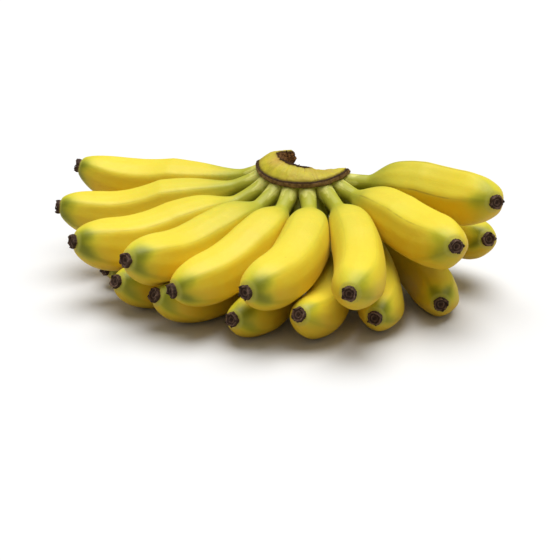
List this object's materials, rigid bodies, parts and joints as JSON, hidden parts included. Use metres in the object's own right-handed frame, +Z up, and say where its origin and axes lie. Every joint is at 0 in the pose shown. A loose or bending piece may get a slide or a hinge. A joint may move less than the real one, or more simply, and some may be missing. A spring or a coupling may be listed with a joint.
{
  "type": "baby banana hand",
  "caption": "Hand of short, plump baby bananas that grow from one crown in two nested rows, with a dried flower on each tip, lying crown up.",
  "frame": {"origin": "on the surface that the hand lies on, under the middle of its bounding box", "axes": "+Z up, +X to the right along the spread of the fruit, -Y to the front, where the middle bananas point"},
  "size_m": [0.2493, 0.1832, 0.0753],
  "materials": {
    "banana_peel": "waxy satin, bright yellow with green stalks and green patches at the tips",
    "crown_skin": "dull, leathery yellow-green with a dark corky scar and a dark fibrous cut",
    "dried_flower": "matt, dry and fibrous, near black brown"
  },
  "bodies": {
    "root": {"crown": "crown_skin", "banana_upper_1": "banana_peel", "banana_upper_2": "banana_peel", "banana_upper_3": "banana_peel", "banana_upper_4": "banana_peel", "banana_upper_5": "banana_peel", "banana_upper_6": "banana_peel", "banana_upper_7": "banana_peel", "banana_upper_8": "banana_peel", "banana_upper_9": "banana_peel", "banana_lower_1": "banana_peel", "banana_lower_2": "banana_peel", "banana_lower_3": "banana_peel", "banana_lower_4": "banana_peel", "banana_lower_5": "banana_peel", "banana_lower_6": "banana_peel", "banana_lower_7": "banana_peel", "banana_lower_8": "banana_peel", "dried_flower_upper_1": "dried_flower", "dried_flower_upper_2": "dried_flower", "dried_flower_upper_3": "dried_flower", "dried_flower_upper_4": "dried_flower", "dried_flower_upper_5": "dried_flower", "dried_flower_upper_6": "dried_flower", "dried_flower_upper_7": "dried_flower", "dried_flower_upper_8": "dried_flower", "dried_flower_upper_9": "dried_flower", "dried_flower_lower_1": "dried_flower", "dried_flower_lower_2": "dried_flower", "dried_flower_lower_3": "dried_flower", "dried_flower_lower_4": "dried_flower", "dried_flower_lower_5": "dried_flower", "dried_flower_lower_6": "dried_flower", "dried_flower_lower_7": "dried_flower", "dried_flower_lower_8": "dried_flower"}
  },
  "joints": []
}
